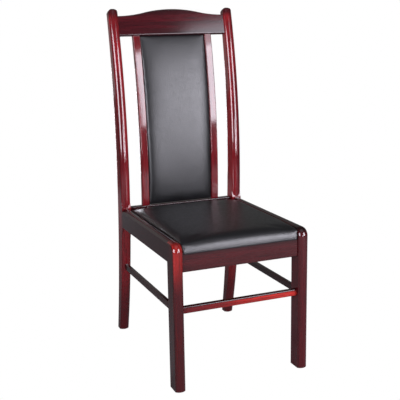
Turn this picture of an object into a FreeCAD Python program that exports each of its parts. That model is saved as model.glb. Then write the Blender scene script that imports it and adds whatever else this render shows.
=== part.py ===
import FreeCAD
import Part
import math
import os

# High-backed wooden conference chair with a drop-in padded seat and a padded back.
# Millimetres. +Z is up, the chair faces -Y, left is -X as seen from the front.
# The origin lies on the floor, in the middle of the chair's width and depth.

V = FreeCAD.Vector
RIGHT = V(1, 0, 0)
BACKWARD = V(0, 1, 0)
UP = V(0, 0, 1)

# Whole chair
chair_width = 440.0
chair_depth = 586.0
chair_height = 1113.0
leg_width = 31.5
bullnose_rise = 8.0
eased_edge = 3.0
glue_gap = 0.15
mortise_spare = 1.0
soft_gap = 0.3

# Front legs
front_leg_depth = 52.0
nose_radius = 28.0

# Rear posts, seen from the side
post_waist_depth = 46.6
post_front_radius = 2185.0
post_front_waist_z = 575.0
post_back_waist_z = 637.0
post_back_radius_upper = 2200.0
post_back_radius_lower = 3200.0
post_back_edge = 3.5
runout_length = 26.0
runout_margin = 3.0
dome_depth_radius = 19.0
dome_width_radius = 16.4

# Seat rails
seat_rail_top = 456.0
side_rail_height = 64.0
front_rail_top = 423.0
front_rail_height = 57.0
front_rail_thickness = 22.0
front_rail_setback = 4.0
rear_rail_top = 458.0
rear_rail_height = 60.0
rear_rail_thickness = 22.0
rear_rail_setback = 7.0
rail_tenon_thickness = 10.0
rail_tenon_length = 15.0
rail_tenon_shoulder = 10.0

# Crest rail and back slats
crest_bottom = 1027.0
crest_end_height = 65.3
crest_rise = 20.9
crest_crown_radius = 447.0
crest_thickness = 22.0
crest_setback = 1.5
slat_spacing = 256.0
slat_width = 25.0
slat_thickness = 16.0
slat_setback = 10.0
slat_edge = 2.0
slat_tenon_thickness = 8.0
slat_tenon_length = 12.0
slat_tenon_shoulder = 4.0

# Stretchers
stretcher_middle_z = 249.0
stretcher_height = 21.0
side_stretcher_thickness = 13.0
front_stretcher_thickness = 16.0
front_stretcher_setback = 9.0
stretcher_housing = 12.0

# Corner blocks and the screws up through them
block_leg = 60.0
block_height = 24.0
block_nose = 8.0
screw_radius = 2.4
screw_head_radius = 4.6
screw_head_height = 2.5
screw_clearance = 0.1
screw_offset = 17.0
screw_bite = 8.0

# Seat pad
seat_board_thickness = 12.0
seat_foam_height = 26.0
seat_crown = 9.0
seat_side_gap = 0.8
seat_draw_in = 1.5
seat_front_roll = 42.0
seat_front_edge_height = 4.0
leather_thickness = 1.2
dust_cover_thickness = 0.8
dust_cover_inset = 22.0

# Back pad
back_board_thickness = 8.0
back_board_setback = 15.0
back_pad_gap = 2.0
back_pad_proud = 7.0
back_edge_proud = 1.0
back_draw_in = 1.0
rear_panel_thickness = 2.6
rear_panel_inset = 5.0
panel_tongue_rows = 3
panel_tongue_height = 40.0
panel_tongue_reach = 9.0
panel_tongue_shoulder = 1.0

# Foot glides
glide_radius = 11.0
glide_height = 3.0
glide_stem_radius = 2.5
glide_stem_length = 16.0

# Places worked out from the sizes above
leg_x = (chair_width - leg_width) / 2
inner_x = chair_width / 2 - leg_width
front_crown_y = -chair_depth / 2
front_corner_y = front_crown_y + bullnose_rise
leg_back_y = front_crown_y + front_leg_depth
side_rail_bottom = seat_rail_top - side_rail_height
front_rail_y = front_corner_y + front_rail_setback
front_rail_back_y = front_rail_y + front_rail_thickness
lower_back_drop = post_back_waist_z - glide_height
foot_sweep = post_back_radius_lower - math.sqrt(post_back_radius_lower ** 2 - lower_back_drop ** 2)
waist_back_y = chair_depth / 2 - foot_sweep
waist_crown_y = waist_back_y - post_waist_depth
corner_radius = post_front_radius - bullnose_rise
bow_centre = V(0, waist_crown_y + post_front_radius, post_front_waist_z)
slat_inner_x = (slat_spacing - slat_width) / 2


def segment(start, end):
    return Part.LineSegment(start, end).toShape()


def arc(start, middle, end):
    return Part.Arc(start, middle, end).toShape()


def face(*edges):
    return Part.Face(Part.Wire(Part.__sortEdges__(list(edges))))


def polygon(*points):
    return Part.Face(Part.makePolygon(list(points) + [points[0]]))


def box(low, high):
    return Part.makeBox(high.x - low.x, high.y - low.y, high.z - low.z, low)


def mirrored(shape):
    return shape.mirror(V(0, 0, 0), RIGHT)


def rounded_bar(size_low, size_high, radius, along):
    """A bar with its four long edges rounded, for stretchers and their housings."""
    bar = box(size_low, size_high)
    edges = [e for e in bar.Edges if abs(e.tangentAt(e.FirstParameter).dot(along)) > 0.99]
    return bar.makeFillet(radius, edges)


def crown_y(z):
    """Foremost line of the rear posts at height z."""
    return bow_centre.y - math.sqrt(post_front_radius ** 2 - (z - post_front_waist_z) ** 2)


def back_y(z):
    """Rear line of the rear posts at height z."""
    radius = post_back_radius_upper if z > post_back_waist_z else post_back_radius_lower
    return waist_back_y + radius - math.sqrt(radius ** 2 - (z - post_back_waist_z) ** 2)


def bow_angle(z):
    """Turn about the bow's centre that brings the waist to height z on the corner line."""
    return math.asin((z - post_front_waist_z) / corner_radius)


def on_bow(x, depth, angle):
    """A point behind the posts' corner line by depth, at an angle along their bow."""
    radius = corner_radius - depth
    return V(x, bow_centre.y - radius * math.cos(angle), bow_centre.z + radius * math.sin(angle))


def bow_band(x_low, x_high, front, back, angle_low, angle_high):
    """A curved board that follows the bow of the posts."""
    middle = (angle_low + angle_high) / 2
    outline = face(
        arc(on_bow(x_low, front, angle_low), on_bow(x_low, front, middle),
            on_bow(x_low, front, angle_high)),
        segment(on_bow(x_low, front, angle_high), on_bow(x_low, back, angle_high)),
        arc(on_bow(x_low, back, angle_high), on_bow(x_low, back, middle),
            on_bow(x_low, back, angle_low)),
        segment(on_bow(x_low, back, angle_low), on_bow(x_low, front, angle_low)))
    return outline.extrude(RIGHT * (x_high - x_low))


def bullnose(crown, depth, across, backward):
    """A section with a rounded front: its crown point, and its depth from crown to flat back."""
    half = across * (leg_width / 2)
    corner = crown + backward * bullnose_rise
    rear = crown + backward * depth
    return face(
        arc(corner - half, crown, corner + half),
        segment(corner + half, rear + half),
        segment(rear + half, rear - half),
        segment(rear - half, corner - half))


def stem_hole(y):
    """The hole for a glide's stem in the foot of a left leg."""
    return Part.makeCylinder(glide_stem_radius + glue_gap, glide_stem_length + mortise_spare,
                             V(-leg_x, y, glide_height))


def in_crest(shape):
    """Leans a shape drawn upright about the crest's bottom line back with the posts."""
    angle = bow_angle(crest_bottom + crest_end_height / 2)
    placed = shape.copy()
    placed.rotate(V(0, 0, 0), RIGHT, -math.degrees(angle))
    placed.translate(V(0, crown_y(crest_bottom) + bullnose_rise + crest_setback, crest_bottom))
    return placed


def rail_tenon(gap):
    """The long tongue of a left side rail, or with a gap the mortises that take it."""
    half = rail_tenon_thickness / 2 + gap
    spare = mortise_spare if gap else 0.0
    middle_z = seat_rail_top - side_rail_height / 2
    low = V(-leg_x - half, leg_back_y - rail_tenon_length - spare,
            side_rail_bottom + rail_tenon_shoulder - gap)
    high = V(-leg_x + half, crown_y(middle_z) + rail_tenon_length + spare,
             seat_rail_top - bullnose_rise - rail_tenon_shoulder + gap)
    return box(low, high)


def cross_tenon(middle_y, bottom, top, gap):
    """The tongue along X of a front or rear rail, or with a gap the mortises that take it."""
    half = rail_tenon_thickness / 2 + gap
    reach = inner_x + rail_tenon_length + (mortise_spare if gap else 0.0)
    return box(V(-reach, middle_y - half, bottom + rail_tenon_shoulder - gap),
               V(reach, middle_y + half, top - rail_tenon_shoulder + gap))


def front_tenon(gap):
    middle_y = front_rail_y + front_rail_thickness / 2
    return cross_tenon(middle_y, front_rail_top - front_rail_height, front_rail_top, gap)


rear_rail_y = crown_y(rear_rail_top) + bullnose_rise + rear_rail_setback


def rear_tenon(gap):
    middle_y = rear_rail_y + rear_rail_thickness / 2
    return cross_tenon(middle_y, rear_rail_top - rear_rail_height, rear_rail_top, gap)


def crest_tenon(gap):
    """The tongue through the ends of the crest rail, or with a gap the mortises for it."""
    half = rail_tenon_thickness / 2 + gap
    reach = inner_x + rail_tenon_length + (mortise_spare if gap else 0.0)
    middle = crest_thickness / 2
    return in_crest(box(V(-reach, middle - half, rail_tenon_shoulder - gap),
                        V(reach, middle + half, crest_end_height - rail_tenon_shoulder + gap)))


def side_stretcher(gap):
    half = side_stretcher_thickness / 2 + gap
    spare = mortise_spare if gap else 0.0
    half_height = stretcher_height / 2 + gap
    rear_end = crown_y(stretcher_middle_z) + bullnose_rise + stretcher_housing + spare
    low = V(-leg_x - half, leg_back_y - stretcher_housing - spare, stretcher_middle_z - half_height)
    high = V(-leg_x + half, rear_end, stretcher_middle_z + half_height)
    return rounded_bar(low, high, eased_edge, BACKWARD)


def front_stretcher(gap):
    reach = inner_x + stretcher_housing + (mortise_spare if gap else 0.0)
    half_height = stretcher_height / 2 + gap
    front = front_corner_y + front_stretcher_setback
    return rounded_bar(V(-reach, front - gap, stretcher_middle_z - half_height),
                       V(reach, front + front_stretcher_thickness + gap, stretcher_middle_z + half_height),
                       eased_edge, RIGHT)


def front_leg():
    """Left front leg: a bullnosed post whose rounded front turns back over its top."""
    crown = V(-leg_x, front_crown_y, glide_height)
    shaft_height = seat_rail_top - nose_radius - glide_height
    shaft = bullnose(crown, front_leg_depth, RIGHT, BACKWARD).extrude(UP * shaft_height)
    nose_axis = V(-leg_x, front_crown_y + nose_radius, seat_rail_top - nose_radius)
    nose_section = bullnose(V(-leg_x, front_crown_y, nose_axis.z), nose_radius, RIGHT, BACKWARD)
    nose = nose_section.revolve(nose_axis, RIGHT, -90)
    top_section = bullnose(nose_axis + UP * nose_radius, nose_radius, RIGHT, -UP)
    top = top_section.extrude(BACKWARD * (front_leg_depth - nose_radius))
    leg = shaft.fuse([nose, top]).removeSplitter()
    for cutter in (rail_tenon(glue_gap), front_tenon(glue_gap), side_stretcher(glue_gap),
                   front_stretcher(glue_gap), stem_hole(front_glide_y)):
        leg = leg.cut(cutter)
    return leg


def post_blank():
    """The sawn blank of a left rear post: bowed, deepest at the waist, square in section."""
    x = -chair_width / 2
    foot, top = glide_height, chair_height + dome_depth_radius
    front_middle = (foot + top) / 2
    lower_middle = (foot + post_back_waist_z) / 2
    upper_middle = (top + post_back_waist_z) / 2
    waist = V(x, waist_back_y, post_back_waist_z)
    outline = face(
        arc(V(x, crown_y(foot), foot), V(x, crown_y(front_middle), front_middle),
            V(x, crown_y(top), top)),
        segment(V(x, crown_y(top), top), V(x, back_y(top), top)),
        arc(V(x, back_y(top), top), V(x, back_y(upper_middle), upper_middle), waist),
        arc(waist, V(x, back_y(lower_middle), lower_middle), V(x, back_y(foot), foot)),
        segment(V(x, back_y(foot), foot), V(x, crown_y(foot), foot)))
    blank = outline.extrude(RIGHT * leg_width)
    rear_edges = [e for e in blank.Edges if e.Length > leg_width * 2 and e.CenterOfMass.y > waist_back_y]
    return blank.makeChamfer(post_back_edge, rear_edges)


def post_roundover():
    """The rounded front that a cutter leaves along the whole bow of a post."""
    top_turn = math.degrees(math.asin((chair_height - post_front_waist_z) / post_front_radius)) + 1
    foot_turn = math.degrees(math.asin(post_front_waist_z / post_front_radius)) + 1
    axis = V(-leg_x, bow_centre.y, bow_centre.z)
    section = bullnose(V(-leg_x, waist_crown_y, post_front_waist_z), post_waist_depth * 2, RIGHT, BACKWARD)
    section.rotate(axis, RIGHT, -top_turn)
    return section.revolve(axis, RIGHT, top_turn + foot_turn)


def joint_block():
    """The stretch at the seat rail that the cutter leaves square, with its sloping run-outs."""
    x = -chair_width / 2
    slope = runout_length / bullnose_rise
    top, bottom = seat_rail_top + runout_margin, side_rail_bottom - runout_margin
    ahead, behind = bullnose_rise, bullnose_rise * 4
    crown_top, crown_bottom = crown_y(top), crown_y(bottom)
    return polygon(
        V(x, crown_top - ahead, top - ahead * slope),
        V(x, crown_top + behind, top + behind * slope),
        V(x, crown_bottom + behind, bottom - behind * slope),
        V(x, crown_bottom - ahead, bottom + ahead * slope)).extrude(RIGHT * leg_width)


def barrel(centre, radius, tilt, along):
    """Everything under a round of a given radius, whose ridge runs along a direction."""
    below = box(V(-chair_width, -chair_height, -chair_height * 2), V(chair_width, chair_height, 0))
    below.rotate(V(0, 0, 0), RIGHT, -math.degrees(tilt))
    below.translate(centre)
    return below.fuse(Part.makeCylinder(radius, chair_width * 2, centre - along * chair_width, along))


def post_dome():
    """Two crossed rounds that dome the top of a left rear post, tilted with its bow."""
    tilt = bow_angle(chair_height)
    height = chair_height - dome_depth_radius
    centre = V(-leg_x, (crown_y(height) + back_y(height)) / 2, height)
    up_post = V(0, math.sin(tilt), math.cos(tilt))
    through_post = V(0, math.cos(tilt), -math.sin(tilt))
    side_centre = centre + up_post * (dome_depth_radius - dome_width_radius)
    return barrel(centre, dome_depth_radius, tilt, RIGHT).common(
        barrel(side_centre, dome_width_radius, tilt, through_post))


def bare_post():
    """A left rear post before its mortises."""
    rounded = post_blank().common(post_roundover().fuse(joint_block()))
    return rounded.common(post_dome()).removeSplitter()


def side_rail(post):
    """Left side rail: its rounded top runs on from the leg's, its end fits the post."""
    crown = V(-leg_x, leg_back_y, seat_rail_top)
    rail = bullnose(crown, side_rail_height, RIGHT, -UP).extrude(BACKWARD * (waist_back_y - leg_back_y))
    behind_front = box(V(-chair_width, leg_back_y, 0), V(0, waist_back_y, seat_rail_top))
    return rail.cut(post).common(behind_front).fuse(rail_tenon(0)).removeSplitter()


def cross_rail(front_y, thickness, bottom, top, tenon):
    """Front or rear rail between the inner faces of the legs, with eased edges and tongues."""
    bar = rounded_bar(V(-inner_x, front_y, bottom), V(inner_x, front_y + thickness, top), eased_edge, RIGHT)
    return bar.fuse(tenon).removeSplitter()


def crest_rail():
    """Camel-backed crest between the posts."""
    half_turn = math.atan(crest_rise / inner_x)
    swing_radius = inner_x / math.sin(2 * half_turn) - crest_crown_radius
    top = crest_end_height + crest_rise
    bend_x = crest_crown_radius * math.sin(2 * half_turn)
    bend_z = top - crest_crown_radius * (1 - math.cos(2 * half_turn))
    swing_x = inner_x - swing_radius * math.sin(half_turn)
    swing_z = crest_end_height + swing_radius * (1 - math.cos(half_turn))
    outline = face(
        segment(V(-inner_x, 0, 0), V(inner_x, 0, 0)),
        segment(V(inner_x, 0, 0), V(inner_x, 0, crest_end_height)),
        arc(V(inner_x, 0, crest_end_height), V(swing_x, 0, swing_z), V(bend_x, 0, bend_z)),
        arc(V(bend_x, 0, bend_z), V(0, 0, top), V(-bend_x, 0, bend_z)),
        arc(V(-bend_x, 0, bend_z), V(-swing_x, 0, swing_z), V(-inner_x, 0, crest_end_height)),
        segment(V(-inner_x, 0, crest_end_height), V(-inner_x, 0, 0)))
    crest = outline.extrude(BACKWARD * crest_thickness)
    long_edges = [e for e in crest.Edges if e.Length > crest_end_height + crest_rise]
    return in_crest(crest.makeFillet(eased_edge, long_edges))


def slat_tenons(gap):
    """Top and bottom tongues of the left slat, or with a gap the mortises for them."""
    middle = slat_setback + slat_thickness / 2
    half_x = slat_width / 2 - slat_tenon_shoulder + gap
    half_y = slat_tenon_thickness / 2 + gap
    length = slat_tenon_length + (mortise_spare if gap else 0.0)
    x = -slat_spacing / 2
    foot = on_bow(x, middle, bow_angle(rear_rail_top))
    lower = box(V(x - half_x, foot.y - half_y, rear_rail_top - length),
                V(x + half_x, foot.y + half_y, rear_rail_top + slat_tenon_shoulder))
    y = slat_setback - crest_setback + slat_thickness / 2
    upper = in_crest(box(V(x - half_x, y - half_y, -slat_tenon_shoulder),
                         V(x + half_x, y + half_y, length)))
    return lower, upper


def back_slat():
    """Left back slat, bowed with the posts, between the rear rail and the crest."""
    x = -slat_spacing / 2
    spare = slat_thickness / corner_radius
    slat = bow_band(x - slat_width / 2, x + slat_width / 2, slat_setback, slat_setback + slat_thickness,
                    bow_angle(rear_rail_top) - spare, bow_angle(crest_bottom) + spare)
    long_edges = [e for e in slat.Edges if e.Length > slat_width * 2]
    slat = slat.makeChamfer(slat_edge, long_edges)
    below = box(V(-chair_width, -chair_depth, 0), V(0, chair_depth, rear_rail_top))
    above = in_crest(box(V(-chair_width, -chair_depth, 0), V(0, chair_depth, chair_height)))
    lower, upper = slat_tenons(0)
    return slat.cut(below).cut(above).fuse([lower, upper]).removeSplitter()


def panel_tongues(gap):
    """Tongues across the back board into both slats, or with a gap the slots that take them."""
    low, high = bow_angle(rear_rail_top), bow_angle(crest_bottom)
    half = (panel_tongue_height / 2 + gap) / corner_radius
    reach = slat_inner_x + panel_tongue_reach + (mortise_spare if gap else 0.0)
    front = back_board_setback + panel_tongue_shoulder - gap
    back = back_board_setback + back_board_thickness - panel_tongue_shoulder + gap
    tongues = []
    for row in range(panel_tongue_rows):
        angle = low + (high - low) * (row + 0.5) / panel_tongue_rows
        tongues.append(bow_band(-reach, reach, front, back, angle - half, angle + half))
    return tongues


def corner_block(front):
    """Left corner block, a glued triangle with its inner tip cut square."""
    corner = V(-inner_x, front_rail_back_y if front else rear_rail_y, front_rail_top - block_height)
    sign = 1 if front else -1
    return polygon(
        corner,
        corner + RIGHT * block_leg,
        corner + RIGHT * block_leg + BACKWARD * (sign * block_nose),
        corner + RIGHT * block_nose + BACKWARD * (sign * block_leg),
        corner + BACKWARD * (sign * block_leg)).extrude(UP * block_height)


def seat_screw(front, gap):
    """The pan-head screw up through a left corner block into the seat board, or its hole."""
    sign = 1 if front else -1
    y = (front_rail_back_y if front else rear_rail_y) + sign * screw_offset
    seat = V(-inner_x + screw_offset, y, front_rail_top - block_height)
    length = block_height + screw_bite + (mortise_spare if gap else 0.0)
    shank = Part.makeCylinder(screw_radius + gap, length, seat)
    if gap:
        return shank
    head = Part.makeCylinder(screw_head_radius, screw_head_height, seat - UP * screw_head_height)
    return shank.fuse(head).removeSplitter()


seat_front_y = front_rail_y + leather_thickness
seat_rear_y = rear_rail_y - seat_side_gap - leather_thickness - soft_gap
seat_half_width = inner_x - seat_side_gap - leather_thickness - soft_gap


def seat_stations(grow):
    """Distance from the front, height of the side edge, height of the middle and draw-in."""
    base = front_rail_top + seat_board_thickness
    edge = base + seat_foam_height - seat_crown
    top = base + seat_foam_height - seat_crown / 2
    low_edge = base + seat_front_edge_height - seat_crown / 4
    low_top = base + seat_front_edge_height
    stations = []
    for share in (0.0, 0.1, 0.35, 0.7):
        lift = math.sqrt(1 - (1 - share) ** 2)
        along = (seat_front_roll + grow) * share - grow
        stations.append((along, low_edge + (edge - low_edge) * lift, low_top + (top - low_top) * lift, 0.0))
    run = seat_rear_y - seat_front_y - seat_front_roll + grow
    for share in (0.0, 0.25, 0.5, 0.75, 1.0):
        swell = 1 - (2 * share - 1) ** 2
        middle = top + seat_crown / 2 * swell
        stations.append((seat_front_roll + run * share, edge, middle, seat_draw_in * swell))
    return stations


def seat_envelope(grow, bottom):
    """Crowned seat pad down to a bottom height, all its other sides grown outwards."""
    wires = []
    for along, side_z, middle_z, draw_in in seat_stations(grow):
        y = seat_front_y + along
        half = seat_half_width - draw_in + grow
        left_low, right_low = V(-half, y, bottom), V(half, y, bottom)
        left_top, right_top = V(-half, y, side_z + grow), V(half, y, side_z + grow)
        wires.append(Part.Wire([
            segment(left_low, right_low), segment(right_low, right_top),
            arc(right_top, V(0, y, middle_z + grow), left_top), segment(left_top, left_low)]))
    return Part.makeLoft(wires, True, True)


def seat_board():
    return box(V(-seat_half_width + seat_draw_in, seat_front_y + seat_draw_in, front_rail_top),
               V(seat_half_width - seat_draw_in, seat_rear_y - seat_draw_in,
                 front_rail_top + seat_board_thickness))


def dust_cover():
    """Thin black cloth under the seat board, cut off at the corner blocks."""
    x = inner_x - dust_cover_inset
    front, rear = front_rail_back_y + dust_cover_inset, rear_rail_y - dust_cover_inset
    corner = block_leg + block_nose
    points = []
    for sx, sy in ((-1, -1), (1, -1), (1, 1), (-1, 1)):
        tip = V(sx * x, front if sy < 0 else rear, front_rail_top - dust_cover_thickness)
        beside = tip - BACKWARD * (sy * corner)
        inward = tip - RIGHT * (sx * corner)
        points += [beside, inward] if sx * sy > 0 else [inward, beside]
    return polygon(*points).extrude(UP * dust_cover_thickness)


back_low = bow_angle(rear_rail_top) + (back_pad_gap + leather_thickness + soft_gap) / corner_radius
back_high = bow_angle(crest_bottom) - (back_pad_gap + leather_thickness + soft_gap) / corner_radius
back_half_width = slat_inner_x - back_pad_gap / 2 - leather_thickness - soft_gap


def back_envelope(grow, rear_depth):
    """Crowned back pad from a rear depth forward, all its other sides grown outwards."""
    ends = grow / corner_radius
    low, high = back_low - ends, back_high + ends
    wires = []
    for share in (0.0, 0.05, 0.16, 0.33, 0.5, 0.67, 0.84, 0.95, 1.0):
        swell = 1 - (2 * share - 1) ** 4
        angle = low + (high - low) * share
        half = back_half_width - back_draw_in * swell + grow
        side = slat_setback - back_edge_proud * swell - grow
        middle = slat_setback - back_edge_proud - (back_pad_proud - back_edge_proud) * swell - grow
        spare = rear_depth + back_pad_proud
        wires.append(Part.Wire([
            segment(on_bow(-half, spare, angle), on_bow(half, spare, angle)),
            segment(on_bow(half, spare, angle), on_bow(half, side, angle)),
            arc(on_bow(half, side, angle), on_bow(0, middle, angle), on_bow(-half, side, angle)),
            segment(on_bow(-half, side, angle), on_bow(-half, spare, angle))]))
    trim = bow_band(-slat_spacing, slat_spacing, -slat_spacing, rear_depth, low * 2, high * 2)
    return Part.makeLoft(wires, True, True).common(trim)


def foot_glide(x, y):
    """Low nylon glide with a stem that is pressed into the leg."""
    disc = Part.makeCylinder(glide_radius, glide_height, V(x, y, 0))
    stem = Part.makeCylinder(glide_stem_radius, glide_stem_length, V(x, y, glide_height))
    return disc.fuse(stem).removeSplitter()


front_glide_y = front_crown_y + front_leg_depth / 2
rear_glide_y = (crown_y(glide_height) + chair_depth / 2) / 2


def build():
    """All sub-parts by name, in place."""
    parts = {}
    post = bare_post()
    rail = side_rail(post)
    for cutter in (rail_tenon(glue_gap), rear_tenon(glue_gap), crest_tenon(glue_gap),
                   side_stretcher(glue_gap), stem_hole(rear_glide_y)):
        post = post.cut(cutter)
    blocks = {front: corner_block(front) for front in (True, False)}
    for front, block in blocks.items():
        blocks[front] = block.cut(seat_screw(front, screw_clearance))
    slat = back_slat()
    for slot in panel_tongues(glue_gap):
        slat = slat.cut(slot)
    left_nodes = {
        "rear_post": post, "front_leg": front_leg(), "side_rail": rail,
        "back_slat": slat, "side_stretcher": side_stretcher(0),
        "corner_block_front": blocks[True], "corner_block_rear": blocks[False]}
    for name, shape in left_nodes.items():
        parts[name + "_left"] = shape
        parts[name + "_right"] = mirrored(shape)

    front_bar = cross_rail(front_rail_y, front_rail_thickness, front_rail_top - front_rail_height,
                           front_rail_top, front_tenon(0))
    rear_bar = cross_rail(rear_rail_y, rear_rail_thickness, rear_rail_top - rear_rail_height,
                          rear_rail_top, rear_tenon(0))
    crest = crest_rail().fuse(crest_tenon(0)).removeSplitter()
    lower, upper = slat_tenons(glue_gap)
    for tenon in (lower, mirrored(lower)):
        rear_bar = rear_bar.cut(tenon)
    for tenon in (upper, mirrored(upper)):
        crest = crest.cut(tenon)
    parts["front_rail"] = front_bar
    parts["rear_rail"] = rear_bar
    parts["crest_rail"] = crest
    parts["front_stretcher"] = front_stretcher(0)

    screws = [seat_screw(True, 0), seat_screw(False, 0)]
    parts["seat_screws"] = Part.makeCompound(screws + [mirrored(s) for s in screws])

    board = seat_board()
    for front in (True, False):
        hole = seat_screw(front, screw_clearance)
        board = board.cut(hole).cut(mirrored(hole))
    base = front_rail_top + seat_board_thickness
    parts["seat_board"] = board
    parts["seat_foam"] = seat_envelope(0, base + soft_gap)
    parts["seat_cover"] = seat_envelope(soft_gap + leather_thickness, front_rail_top + soft_gap).cut(
        seat_envelope(soft_gap, front_rail_top - leather_thickness))
    parts["seat_dust_cover"] = dust_cover()

    panel_rear = back_board_setback + back_board_thickness
    panel = bow_band(-back_half_width + back_draw_in, back_half_width - back_draw_in, back_board_setback,
                     panel_rear, back_low, back_high)
    cover = back_envelope(soft_gap + leather_thickness, panel_rear).cut(
        back_envelope(soft_gap, panel_rear + leather_thickness))
    for slot in panel_tongues(glue_gap):
        cover = cover.cut(slot)
    inset = rear_panel_inset / corner_radius
    parts["back_board"] = panel.fuse(panel_tongues(0)).removeSplitter()
    parts["back_foam"] = back_envelope(0, back_board_setback - soft_gap)
    parts["back_cover"] = cover
    parts["back_rear_panel"] = bow_band(
        -back_half_width + rear_panel_inset, back_half_width - rear_panel_inset, panel_rear,
        panel_rear + rear_panel_thickness, back_low + inset, back_high - inset)

    for name, y in (("front", front_glide_y), ("rear", rear_glide_y)):
        for side, x in (("left", -leg_x), ("right", leg_x)):
            parts["foot_glide_%s_%s" % (name, side)] = foot_glide(x, y)
    return parts


os.makedirs("parts", exist_ok=True)
for node, shape in build().items():
    shape.exportStep("parts/%s.step" % node)
    print(node, len(shape.Solids), round(shape.Volume), shape.isValid())
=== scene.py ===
from math import asin, atan, atan2, cos, exp, hypot, pi, radians, sin, sqrt, tanh

import bmesh
import bpy
from mathutils import Matrix, Vector


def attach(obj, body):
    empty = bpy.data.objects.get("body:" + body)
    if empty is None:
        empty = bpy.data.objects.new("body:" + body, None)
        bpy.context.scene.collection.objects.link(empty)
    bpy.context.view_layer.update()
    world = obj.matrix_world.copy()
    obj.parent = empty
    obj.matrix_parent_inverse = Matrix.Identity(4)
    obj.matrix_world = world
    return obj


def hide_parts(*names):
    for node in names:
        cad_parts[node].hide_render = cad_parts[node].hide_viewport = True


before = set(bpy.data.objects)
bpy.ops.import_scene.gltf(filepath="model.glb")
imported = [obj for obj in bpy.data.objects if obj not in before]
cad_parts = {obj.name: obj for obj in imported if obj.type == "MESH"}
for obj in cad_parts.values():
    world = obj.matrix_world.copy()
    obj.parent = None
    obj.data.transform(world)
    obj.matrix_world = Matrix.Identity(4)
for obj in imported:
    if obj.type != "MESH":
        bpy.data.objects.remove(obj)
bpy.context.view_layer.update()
stage_scene = bpy.context.scene

# Sizes of the chair in millimetres, as in the part's source. +Z is up and the chair faces -Y.
MM = 0.001
CHAIR_HEIGHT = 1113.0
HALF_WIDTH = 220.0
HALF_DEPTH = 293.0
LEG_WIDTH = 31.5
LEG_HALF = LEG_WIDTH / 2
LEG_X = HALF_WIDTH - LEG_HALF
INNER_X = HALF_WIDTH - LEG_WIDTH
BULLNOSE_RISE = 8.0
BULLNOSE_RADIUS = (LEG_HALF ** 2 + BULLNOSE_RISE ** 2) / (2 * BULLNOSE_RISE)
FOOT_Z = 3.0
LEG_FRONT_Y = -HALF_DEPTH
LEG_DEPTH = 52.0
LEG_BACK_Y = LEG_FRONT_Y + LEG_DEPTH
NOSE_RADIUS = 28.0
SEAT_RAIL_TOP = 456.0
SIDE_RAIL_BOTTOM = 392.0
FRONT_RAIL_TOP = 423.0
FRONT_RAIL_BOTTOM = 366.0
FRONT_RAIL_Y = -281.0
FRONT_RAIL_BACK_Y = -259.0
REAR_RAIL_TOP = 458.0
REAR_RAIL_BOTTOM = 398.0
RAIL_THICKNESS = 22.0
REAR_RAIL_SETBACK = 7.0
POST_RADIUS = 2185.0
POST_WAIST_Z = 575.0
POST_BACK_WAIST_Z = 637.0
POST_BACK_UPPER = 2200.0
POST_BACK_LOWER = 3200.0
POST_WAIST_DEPTH = 46.6
RUNOUT_LENGTH = 26.0
RUNOUT_SLOPE = RUNOUT_LENGTH / BULLNOSE_RISE
RUNOUT_MARGIN = 3.0
RUNOUT_TOP = SEAT_RAIL_TOP + RUNOUT_MARGIN
RUNOUT_BOTTOM = SIDE_RAIL_BOTTOM - RUNOUT_MARGIN
DOME_DEPTH_RADIUS = 19.0
DOME_WIDTH_RADIUS = 16.4
DOME_RIM = 0.1
CREST_BOTTOM = 1027.0
CREST_END = 65.3
CREST_RISE = 20.9
CREST_CROWN = 447.0
CREST_THICKNESS = 22.0
CREST_SETBACK = 1.5
CREST_EDGE = 4.0
SLAT_X = 128.0
SLAT_WIDTH = 25.0
SLAT_THICKNESS = 16.0
SLAT_SETBACK = 10.0
STRETCHER_Z = 249.0
STRETCHER_HEIGHT = 21.0
FRONT_STRETCHER_THICKNESS = 16.0
FRONT_STRETCHER_SETBACK = 9.0
SIDE_STRETCHER_THICKNESS = 13.0
BACK_BOARD_REAR = 23.0
BAR_EDGE = 3.0
JOINT_OVERLAP = 0.2  # pieces run this far into each other at glued joints
SIDES = ((-1, "left"), (1, "right"))

foot_sweep = POST_BACK_LOWER - sqrt(POST_BACK_LOWER ** 2 - (POST_BACK_WAIST_Z - FOOT_Z) ** 2)
waist_back_y = HALF_DEPTH - foot_sweep
bow_y = waist_back_y - POST_WAIST_DEPTH + POST_RADIUS
corner_radius = POST_RADIUS - BULLNOSE_RISE


def crown_y(z):
    """Foremost line of the rear posts at a height."""
    return bow_y - sqrt(POST_RADIUS ** 2 - (z - POST_WAIST_Z) ** 2)


def back_y(z):
    """Rear line of the rear posts at a height."""
    radius = POST_BACK_UPPER if z > POST_BACK_WAIST_Z else POST_BACK_LOWER
    return waist_back_y + radius - sqrt(radius ** 2 - (z - POST_BACK_WAIST_Z) ** 2)


def bow_angle(z):
    """Angle along the posts' bow at which their corner line reaches a height."""
    return asin((z - POST_WAIST_Z) / corner_radius)


def on_bow(x, depth, angle):
    """A point behind the posts' corner line by a depth, at an angle along their bow."""
    radius = corner_radius - depth
    return (x, bow_y - radius * cos(angle), POST_WAIST_Z + radius * sin(angle))


def rounding(x):
    """How far a leg's rounded front falls back at a distance from its middle."""
    return BULLNOSE_RADIUS - sqrt(BULLNOSE_RADIUS ** 2 - x * x)


rear_rail_y = crown_y(REAR_RAIL_TOP) + BULLNOSE_RISE + REAR_RAIL_SETBACK
back_low, back_high = bow_angle(REAR_RAIL_TOP), bow_angle(CREST_BOTTOM)


# Nodes, colours and materials

def add(tree, kind, values=None, links=None, **settings):
    """Adds a node, with its settings, the values of its sockets and the links into them."""
    made = tree.nodes.new(kind)
    for key, value in settings.items():
        setattr(made, key, value)
    for key, value in (values or {}).items():
        made.inputs[key].default_value = value
    for key, source in (links or {}).items():
        tree.links.new(source, made.inputs[key])
    return made


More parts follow.
